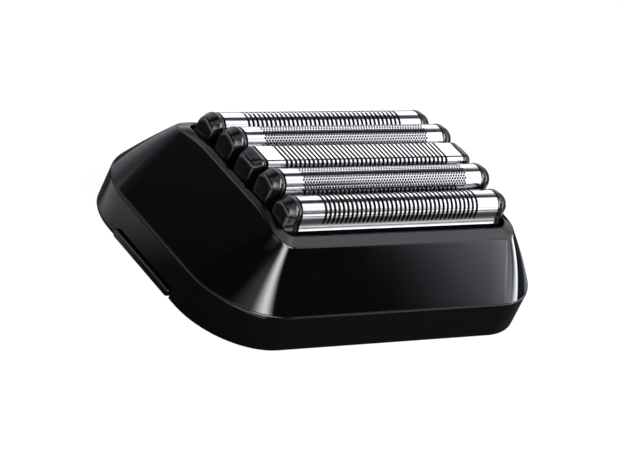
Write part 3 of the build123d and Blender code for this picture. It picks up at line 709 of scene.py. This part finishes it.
for row in FOIL_ROWS:
    low, high = (np.array(corner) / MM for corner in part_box(f"cutter_blades_{row}"))
    half_width = (high[1] - low[1]) / 2
    row_y = (high[1] + low[1]) / 2
    radius = half_width - FOIL_RADIUS + COMB_RADIUS if row == MIDDLE_ROW else half_width
    edge = crown_length(radius, half_width, high[2] - low[2])
    across, below = crown(np.linspace(-edge, edge, BLADE_POINTS), radius, half_width, 0)
    count = int((high[0] - low[0] - BLADE_THICKNESS) / BLADE_PITCH) + 1
    blade_parts = [soft_box(
        (low[0], row_y - BLADE_SPINE_HALF, low[2]),
        (high[0], row_y + BLADE_SPINE_HALF, low[2] + BLADE_SPINE_HEIGHT), BLADE_SPINE_CUT,
    )]
    for middle in (np.arange(count) - (count - 1) / 2) * BLADE_PITCH:
        blade_sides = [np.full(across.shape, middle + sign * BLADE_THICKNESS / 2) for sign in (-1, 1)]
        blade_parts.append(tube(np.array([
            np.stack([blade_side, row_y + across, high[2] - below], -1) for blade_side in blade_sides
        ])))
    make_piece(
        f"cutter_blade_row_{row}", blade_parts, shade_darkened_blade_steel, f"cutter_{row}",
        [f"cutter_blades_{row}"], sharp=40,
    )


# Inside: cassette frame, base plate, drive bridge and cutter carriers are moulded in dark grey acetal,
# and the springs are bent from spring strip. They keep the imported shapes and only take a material.
SPECK = 0.25
SPECK_DEPTH = 0.02
STRIP_MARK = 0.3

# Moulded acetal: a matt dark grey with fine lighter specks.
acetal, tree, output, place = new_material("moulded_dark_acetal")
specks = add_node(
    tree, "ShaderNodeTexNoise", {"Scale": 1 / (SPECK * MM), "Detail": 3.0}, {"Vector": place},
)
speck_bump = add_node(
    tree, "ShaderNodeBump", {"Strength": 0.15, "Distance": SPECK_DEPTH * MM},
    {"Height": specks.outputs["Fac"]},
)
speck_tint = add_node(tree, "ShaderNodeValToRGB", {}, {"Fac": specks.outputs["Fac"]})
speck_tint.color_ramp.elements[0].color = linear("#17171a")
speck_tint.color_ramp.elements[1].color = linear("#26262a")
acetal_shader = add_node(
    tree, "ShaderNodeBsdfPrincipled", {"Roughness": 0.42, "IOR": 1.48, "Specular IOR Level": 0.4},
    {"Base Color": speck_tint.outputs["Color"], "Normal": speck_bump.outputs["Normal"]},
)
tree.links.new(acetal_shader.outputs["BSDF"], output.inputs["Surface"])

# Spring strip: rolled bright steel with an uneven sheen.
spring_strip, tree, output, place = new_material("spring_steel_strip")
strip_marks = add_node(
    tree, "ShaderNodeTexNoise", {"Scale": 1 / (STRIP_MARK * MM), "Detail": 2.0}, {"Vector": place},
)
strip_range = add_node(
    tree, "ShaderNodeMapRange", {"To Min": 0.2, "To Max": 0.4}, {"Value": strip_marks.outputs["Fac"]},
)
strip_shader = add_node(
    tree, "ShaderNodeBsdfPrincipled", {"Base Color": linear("#b4b2ac"), "Metallic": 1.0},
    {"Roughness": strip_range.outputs["Result"]},
)
tree.links.new(strip_shader.outputs["BSDF"], output.inputs["Surface"])

for name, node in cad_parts.items():
    if node.hide_render:
        continue
    finish = spring_strip if "springs" in name else acetal
    node.data.materials.clear()
    node.data.materials.append(finish)


# Studio: a large pale floor, softboxes, cards and the camera at the photograph's viewpoint, which is
# rolled so that the head stands askew in the picture.
FLOOR_HALF = 4000.0
# White paper: the camera sees it white with a faint shadow. In mirrors its glow is painted: a painted
# shadow dark close to the head and painted light bright behind it, along a direction in degrees, over a
# range in millimetres. Mirrors also leave out its lit grey, a painted shade.
PAPER_GREY = linear("#4a4a4a")[0]
PAPER_CAMERA_FILL = 0.94
PAPER_MIRROR_PAINTED_LEVELS = (0.07, 0.9)
PAINTED_BRIGHT_SIDE = 100.0
PAINTED_SHADE_TO_LIGHT_RANGE = (45.0, 100.0)
ROOM_LIGHT = 0.02
floor_mesh = bpy.data.meshes.new("floor")
floor_corners = np.array([(-1, -1, 0), (1, -1, 0), (1, 1, 0), (-1, 1, 0)]) * (FLOOR_HALF * MM)
floor_mesh.from_pydata(floor_corners.tolist(), [], [(0, 1, 2, 3)])
floor = bpy.data.objects.new("floor", floor_mesh)
bpy.context.scene.collection.objects.link(floor)
paper, tree, output, place = new_material("white_paper_floor")
ray = add_node(tree, "ShaderNodeLightPath")
mirrored = add_node(
    tree, "ShaderNodeMath", {},
    {0: ray.outputs["Is Glossy Ray"], 1: ray.outputs["Is Transmission Ray"]}, operation="MAXIMUM",
)
# Painted shadow and painted light: the paper's glow in mirrors is dark near the head and bright on one
# side.
behind = add_node(
    tree, "ShaderNodeVectorMath", {1: (cos(radians(PAINTED_BRIGHT_SIDE)), sin(radians(PAINTED_BRIGHT_SIDE)), 0)},
    {0: place}, operation="DOT_PRODUCT",
)
painted_mirror_level = add_node(
    tree, "ShaderNodeMapRange",
    {
        "From Min": PAINTED_SHADE_TO_LIGHT_RANGE[0] * MM, "From Max": PAINTED_SHADE_TO_LIGHT_RANGE[1] * MM,
        "To Min": PAPER_MIRROR_PAINTED_LEVELS[0], "To Max": PAPER_MIRROR_PAINTED_LEVELS[1],
    },
    {"Value": behind.outputs["Value"]}, interpolation_type="SMOOTHSTEP",
)
painted_mirror_glow = add_node(
    tree, "ShaderNodeMath", {}, {0: mirrored.outputs["Value"], 1: painted_mirror_level.outputs["Result"]},
    operation="MULTIPLY",
)
fill = add_node(
    tree, "ShaderNodeMath", {1: PAPER_CAMERA_FILL},
    {0: ray.outputs["Is Camera Ray"], 2: painted_mirror_glow.outputs["Value"]}, operation="MULTIPLY_ADD",
)
# Mirrors don't see the paper's lit grey, a painted shade that keeps the glossy black darker.
dimmed = add_node(
    tree, "ShaderNodeMath", {1: -PAPER_GREY, 2: PAPER_GREY}, {0: mirrored.outputs["Value"]},
    operation="MULTIPLY_ADD",
)
lit = add_node(tree, "ShaderNodeBsdfDiffuse", {}, {"Color": dimmed.outputs["Value"]})
glow = add_node(tree, "ShaderNodeEmission", {"Color": (1, 1, 1, 1)}, {"Strength": fill.outputs["Value"]})
both = add_node(tree, "ShaderNodeAddShader", {}, {0: lit.outputs["BSDF"], 1: glow.outputs["Emission"]})
tree.links.new(both.outputs["Shader"], output.inputs["Surface"])
floor_mesh.materials.append(paper)

world = bpy.data.worlds.new("studio_room")
bpy.context.scene.world = world
world.use_nodes = True
room = world.node_tree.nodes["Background"]
room.inputs["Color"].default_value = (1, 1, 1, 1)
room.inputs["Strength"].default_value = ROOM_LIGHT

# Softboxes on shells round the head. Each has its spans of turn about Z from +X and of lift, in degrees,
# the width of its soft edges at the start and end of both spans, its strength and its colour.
SOFTBOX_DISTANCE = 600.0
SOFTBOX_GAP = 5.0
SOFTBOX_TURNS = 33
SOFTBOX_LIFTS = 21
SOFTBOXES = {
    "front_strip": ((-116, -80), (12, 74), (26, 18), (10, 24), 23.0, "#ffffff"),
    "front_left_scrim": ((-152, -103), (8, 50), (36, 12), (6, 12), 1.0, "#ffffff"),
    "low_left_scrim": ((-142, -100), (0, 14), (12, 12), (1, 5), 5.0, "#ffffff"),
    "overhead_left_scrim": ((-200, -122), (48, 82), (15, 15), (8, 10), 1.7, "#ffffff"),
    "overhead_front_scrim": ((-86, -50), (38, 76), (8, 8), (8, 10), 14.0, "#ffffff"),
    "wall_strip": ((-46, -32), (12, 24), (8, 6), (3, 4), 3.6, "#e8eeff"),
    "right_scrim": ((-44, 3), (8, 46), (6, 6), (4, 8), 2.0, "#fafbff"),
    "right_rim_scrim": ((-6, 32), (12, 40), (6, 6), (5, 4), 1.3, "#f4f7ff"),
    "rim_scrim": ((-34, 3), (38, 66), (10, 6), (6, 10), 1.9, "#f4f7ff"),
    "low_front_scrim": ((-62, -22), (0, 13), (8, 8), (6, 3), 2.2, "#fafbff"),
    "low_right_strip": ((-36, 6), (2, 9), (8, 3), (1.5, 5), 13.0, "#f4f8ff"),
    "back_right_scrim": ((29, 70), (2, 60), (5, 14), (8, 8), 2.1, "#fafbff"),
    "back_scrim": ((66, 142), (0, 64), (8, 76), (1, 24), 1.5, "#eef2ff"),
    "edge_strip": ((92, 122), (42, 58), (8, 8), (5, 5), 2.0, "#f4f7ff"),
    "left_scrim": ((112, 240), (2, 28), (14, 14), (4, 8), 2.4, "#ffffff"),
    "corner_scrim": ((-30, 86), (54, 88), (10, 76), (6, 10), 1.7, "#f4f7ff"),
}


def eased(places, span, edges):
    """Brightness across a panel: rises smoothly from its first edge and falls smoothly to its last."""
    rise = np.clip((places - span[0]) / edges[0], 0, 1)
    fall = np.clip((span[1] - places) / edges[1], 0, 1)
    return (rise**2 * (3 - 2 * rise)) * (fall**2 * (3 - 2 * fall))


def light_panel(name, points, brightness, strength, tint):
    """A glowing cloth on a grid of points, unseen by the camera, that adds to what lies behind it."""
    mesh = bpy.data.meshes.new(name)
    faces = grid_faces(*points.shape[:2], False, False)[:, ::-1]
    mesh.from_pydata((points.reshape(-1, 3) * MM).tolist(), [], faces.tolist())
    mesh.attributes.new("brightness", "FLOAT", "POINT").data.foreach_set("value", brightness.ravel())
    cloth, tree, output, _ = new_material(f"{name}_cloth")
    shape = add_node(tree, "ShaderNodeAttribute", attribute_name="brightness")
    power = add_node(
        tree, "ShaderNodeMath", {1: strength}, {0: shape.outputs["Fac"]}, operation="MULTIPLY",
    )
    light = add_node(
        tree, "ShaderNodeEmission", {"Color": linear(tint)}, {"Strength": power.outputs["Value"]},
    )
    clear = add_node(tree, "ShaderNodeBsdfTransparent")
    veil = add_node(
        tree, "ShaderNodeAddShader", {}, {0: light.outputs["Emission"], 1: clear.outputs["BSDF"]},
    )
    tree.links.new(veil.outputs["Shader"], output.inputs["Surface"])
    mesh.materials.append(cloth)
    panel = bpy.data.objects.new(name, mesh)
    panel.visible_camera = False
    bpy.context.scene.collection.objects.link(panel)


for shell, (name, settings) in enumerate(SOFTBOXES.items()):
    turn_span, lift_span, turn_edges, lift_edges, strength, tint = settings
    turns = np.linspace(*turn_span, SOFTBOX_TURNS)[None, :]
    lifts = np.linspace(*lift_span, SOFTBOX_LIFTS)[:, None]
    level_share = np.cos(np.radians(lifts))
    points = (SOFTBOX_DISTANCE + SOFTBOX_GAP * shell) * np.stack(np.broadcast_arrays(
        level_share * np.cos(np.radians(turns)), level_share * np.sin(np.radians(turns)),
        np.sin(np.radians(lifts)),
    ), -1)
    brightness = eased(turns, turn_span, turn_edges) * eased(lifts, lift_span, lift_edges)
    light_panel(name, points, brightness, strength, tint)

# White cards lie on the floor. They light the lower flanks of caps and foils and edge the skirt's ends.
# Each has its spans along X and Y, the width of its soft edges, its strength and its colour.
CARD_HEIGHT = 0.4
CARD_LINES = 33
CARDS = {
    "front_left_card": ((-64, -24), (-68, -28), (1, 1), (1, 1), 2.5, "#ffffff"),
    "back_left_card": ((-41, -30), (-2, 28), (2, 2), (18, 4), 1.0, "#f4f7ff"),
    "front_right_card": ((-10, 170), (-190, -40), (20, 20), (10, 90), 1.2, "#ffffff"),
    "right_card": ((30, 72), (-16, 26), (2, 12), (3, 8), 0.5, "#d6e0ff"),
}
for name, (x_span, y_span, x_edges, y_edges, strength, tint) in CARDS.items():
    x = np.linspace(*x_span, CARD_LINES)[None, :]
    y = np.linspace(*y_span, CARD_LINES)[:, None]
    points = np.stack(np.broadcast_arrays(x, y, CARD_HEIGHT), -1)
    brightness = eased(x, x_span, x_edges) * eased(y, y_span, y_edges)
    light_panel(name, points, brightness, strength, tint)

# The camera looks along the aim from its place in millimetres and is rolled by degrees about the aim.
CAMERA_PLACE = (-333.474, -284.063, 233.019)
CAMERA_AIM = (0.67303, 0.57701, -0.46270)
CAMERA_ROLL = 26.0
CAMERA_LENS = 197.2
CAMERA_SENSOR = 36.0
camera_data = bpy.data.cameras.new("camera")
camera_data.sensor_width = CAMERA_SENSOR
camera_data.lens = CAMERA_LENS
camera = bpy.data.objects.new("camera", camera_data)
aimed = Vector(CAMERA_AIM).to_track_quat("-Z", "Y").to_matrix()
rolled = aimed @ Matrix.Rotation(radians(CAMERA_ROLL), 3, "Z")
camera.matrix_world = Matrix.Translation(Vector(CAMERA_PLACE) * MM) @ rolled.to_4x4()
bpy.context.scene.collection.objects.link(camera)
bpy.context.scene.camera = camera
bpy.context.scene.view_settings.view_transform = "Standard"
